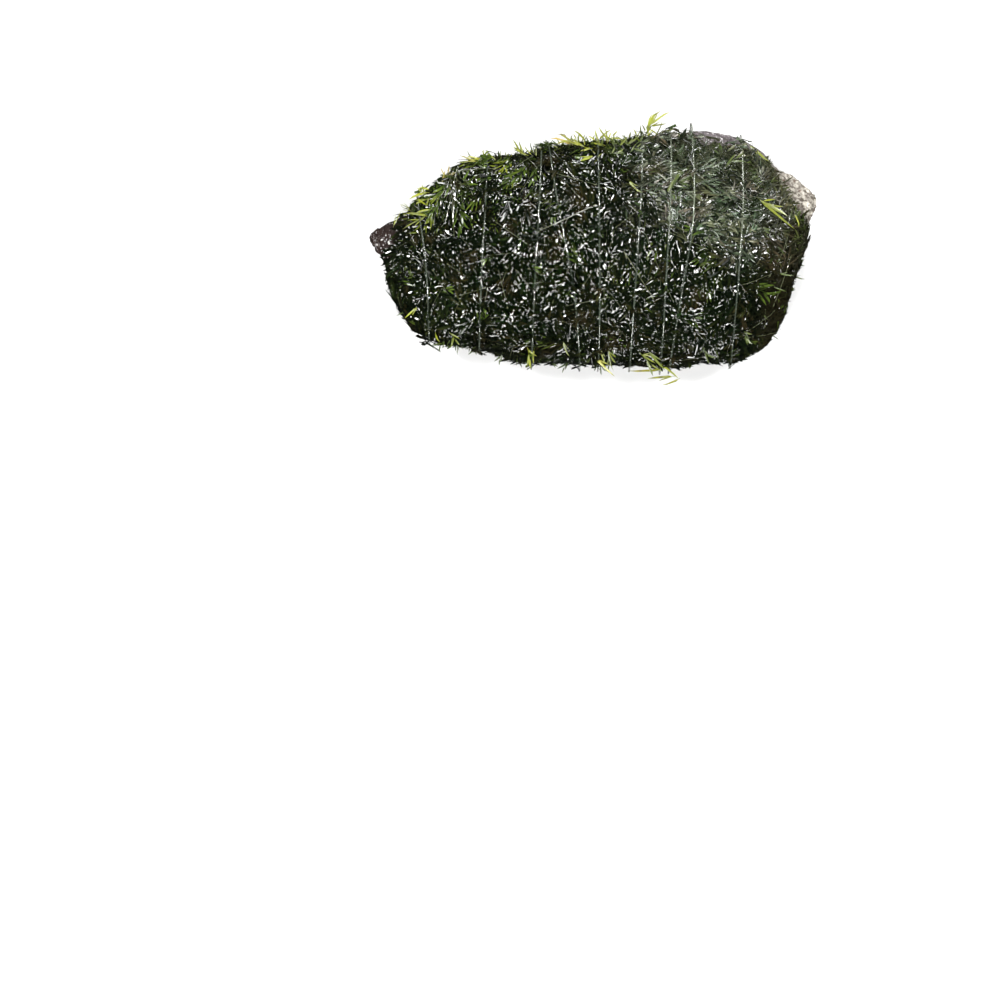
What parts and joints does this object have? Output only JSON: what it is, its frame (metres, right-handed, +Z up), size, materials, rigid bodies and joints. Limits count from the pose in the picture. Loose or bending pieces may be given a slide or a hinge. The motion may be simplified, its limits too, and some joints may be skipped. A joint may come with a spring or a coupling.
{
  "type": "moss covered stone",
  "caption": "Small flat stone under a thin mat of wet feather moss, held on by one thin clear line wound round it.",
  "frame": {"origin": "on the table, below the middle of the object's bounding box", "axes": "+X along the stone to its blunt bare tip, +Y to the far edge, +Z up through the broad mossy face"},
  "size_m": [0.061, 0.0344, 0.0184],
  "materials": {
    "stone": "wet, rough and granular",
    "moss": "wet and glossy",
    "line": "clear, smooth"
  },
  "bodies": {
    "root": {"stone": "stone", "moss_mat": "moss", "tie_line": "line"}
  },
  "joints": []
}
